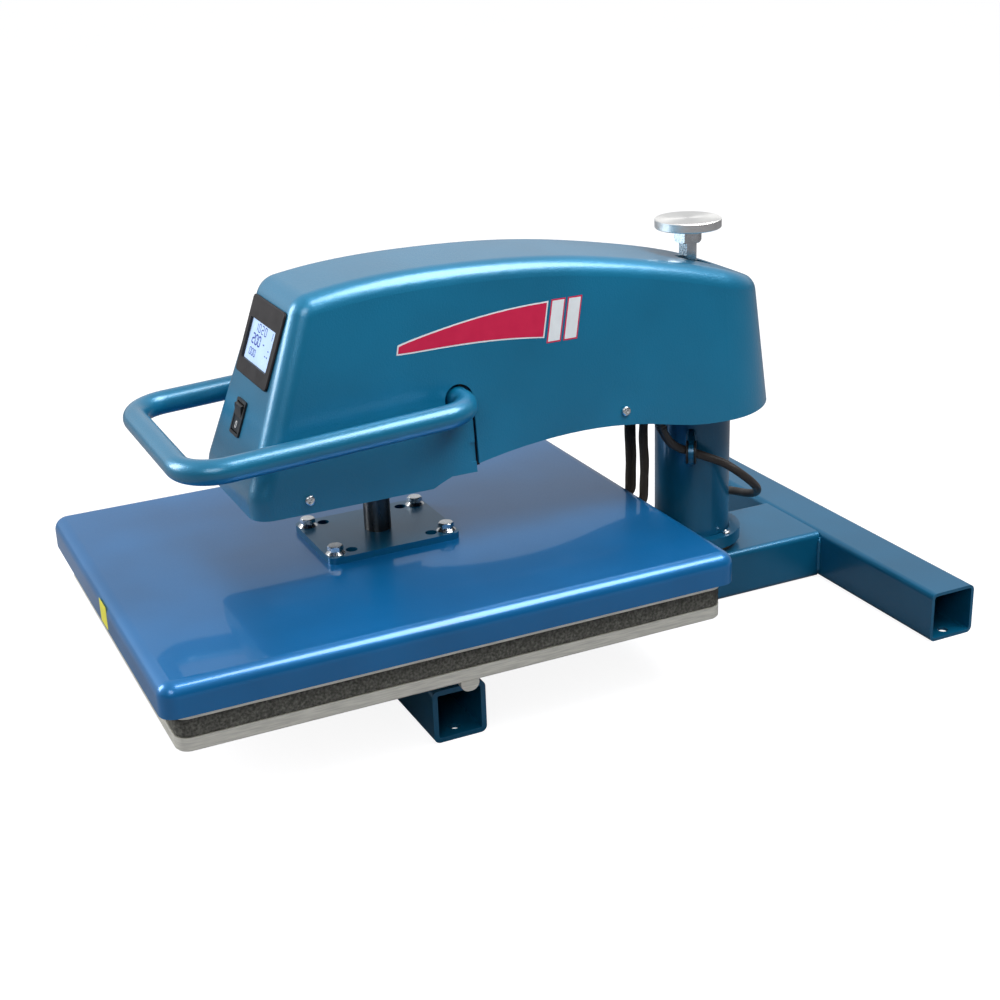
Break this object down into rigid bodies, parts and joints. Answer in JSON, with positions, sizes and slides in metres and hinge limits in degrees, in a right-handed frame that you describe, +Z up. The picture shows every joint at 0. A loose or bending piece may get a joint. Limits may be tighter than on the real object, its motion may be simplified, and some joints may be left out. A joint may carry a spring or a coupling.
{
  "type": "swing-away heat press",
  "caption": "Benchtop swing-away heat press: a heated platen under an arched head on a column, lowered by a U-shaped toggle handle onto a foam-padded platen on an H-frame of square tube.",
  "frame": {"origin": "on the bench surface, at the swing column's axis, at the underside of the base tubes", "axes": "+Z up along the column; +Y to the back of the press; +X to the operator's right"},
  "size_m": [0.4616, 0.7892, 0.391],
  "materials": {
    "base_paint": "satin blue powder coat",
    "head_paint": "fine textured metallic teal-blue coat",
    "platen_paint": "glossy metallic blue",
    "steel": "machined steel",
    "dark_steel": "oiled dark steel",
    "zinc": "bright zinc plate",
    "aluminium_plate": "machined aluminium",
    "bronze": "sintered bronze",
    "pad_foam": "closed-cell silicone foam",
    "board_fibre": "rigid mineral fibre board",
    "black_plastic": "fine-grained black",
    "bezel_plastic": "charcoal overlay",
    "switch_plastic": "glossy black",
    "screen_glass": "pale blue backlit display",
    "circuit_board": "green solder mask",
    "cord_rubber": "black cord jacket",
    "cable_sleeve": "braided heat-resistant sleeve",
    "contact_brass": "bright plug blades"
  },
  "bodies": {
    "base": {"base_spine_tube": "base_paint", "front_cross_tube": "base_paint", "rear_cross_tube": "base_paint", "fixed_post": "steel", "thrust_washer": "bronze", "platen_risers": "dark_steel", "riser_studs": "zinc", "lower_platen": "aluminium_plate", "silicone_pad": "pad_foam", "power_cord_lead": "cord_rubber", "power_cord_coil": "cord_rubber", "power_cord_tail": "cord_rubber", "power_plug": "black_plastic", "plug_blades": "contact_brass"},
    "swing_column": {"column_tube": "base_paint", "column_collar": "base_paint", "column_bushes": "bronze", "column_cap": "steel", "fulcrum_pin": "steel", "pin_clips": "dark_steel", "cord_eye": "base_paint", "cord_grommet": "black_plastic", "power_cord_drop": "cord_rubber"},
    "knob": {"knob_disc": "aluminium_plate", "knob_nut": "zinc", "pressure_screw": "zinc"},
    "head": {"arm_side_plates": "steel", "screw_bridge": "steel", "guide_block": "dark_steel", "guide_bush": "bronze", "arm_spacers": "steel", "spacer_bolts": "zinc", "toggle_upper_pin": "steel", "handle_bushes": "bronze", "head_cover": "head_paint", "slot_closures": "head_paint", "cover_screws": "zinc", "display_bezel": "bezel_plastic", "display_screen": "screen_glass", "controller_board": "circuit_board", "switch_housing": "black_plastic", "relay": "black_plastic", "cord_gland": "black_plastic"},
    "power_switch": {"switch_rocker": "switch_plastic"},
    "handle": {"handle_tube": "head_paint", "handle_shaft": "steel", "handle_crank": "dark_steel"},
    "push_rod": {"push_rods": "dark_steel"},
    "upper_link": {"upper_toggle_link": "dark_steel", "knee_pin": "steel"},
    "lower_link": {"lower_toggle_links": "dark_steel"},
    "platen": {"centre_shaft": "dark_steel", "shaft_pin": "steel", "mount_plate": "base_paint", "mount_bolts": "zinc", "platen_cover": "platen_paint", "insulation_board": "board_fibre", "heat_platen": "aluminium_plate", "heating_element": "dark_steel", "heater_cables": "cable_sleeve"}
  },
  "joints": [
    {"name": "head_swing", "type": "hinge", "parent": "base", "child": "swing_column", "pos_m": [0, 0, 0.05], "axis": [0, 0, 1], "range_deg": [-90, 90], "deforming": ["power_cord_lead"]},
    {"name": "pressure_tilt", "type": "hinge", "parent": "swing_column", "child": "head", "pos_m": [0, 0.025, 0.258], "axis": [-1, 0, 0], "range_deg": [0, 1.2], "deforming": ["power_cord_drop"]},
    {"name": "knob_turn", "type": "hinge", "parent": "swing_column", "child": "knob", "pos_m": [0, -0.007, 0.387], "axis": [0, 0, 1], "range_deg": [0, 120]},
    {"name": "power_rocker", "type": "hinge", "parent": "head", "child": "power_switch", "pos_m": [-0.008, -0.46457, 0.26497], "axis": [-1, 0, 0], "range_deg": [0, 16]},
    {"name": "handle_lift", "type": "hinge", "parent": "head", "child": "handle", "pos_m": [0, -0.287, 0.273], "axis": [-1, 0, 0], "range_deg": [0, 50]},
    {"name": "push_rod_pivot", "type": "hinge", "parent": "handle", "child": "push_rod", "pos_m": [0, -0.287, 0.233], "axis": [-1, 0, 0], "range_deg": [-50, 0]},
    {"name": "upper_link_pivot", "type": "hinge", "parent": "head", "child": "upper_link", "pos_m": [0, -0.3466, 0.345], "axis": [-1, 0, 0], "range_deg": [0, 50]},
    {"name": "lower_link_pivot", "type": "hinge", "parent": "upper_link", "child": "lower_link", "pos_m": [0, -0.3466, 0.305], "axis": [-1, 0, 0], "range_deg": [-100, 0]},
    {"name": "platen_pivot", "type": "hinge", "parent": "lower_link", "child": "platen", "pos_m": [0, -0.3466, 0.265], "axis": [-1, 0, 0], "range_deg": [0, 50]}
  ],
  "couplings": [
    {"joint": "knob_turn", "follows": "pressure_tilt", "ratio": 100},
    {"joint": "push_rod_pivot", "follows": "handle_lift", "ratio": -1},
    {"joint": "upper_link_pivot", "follows": "handle_lift", "ratio": 1},
    {"joint": "lower_link_pivot", "follows": "handle_lift", "ratio": -2},
    {"joint": "platen_pivot", "follows": "handle_lift", "ratio": 1}
  ]
}
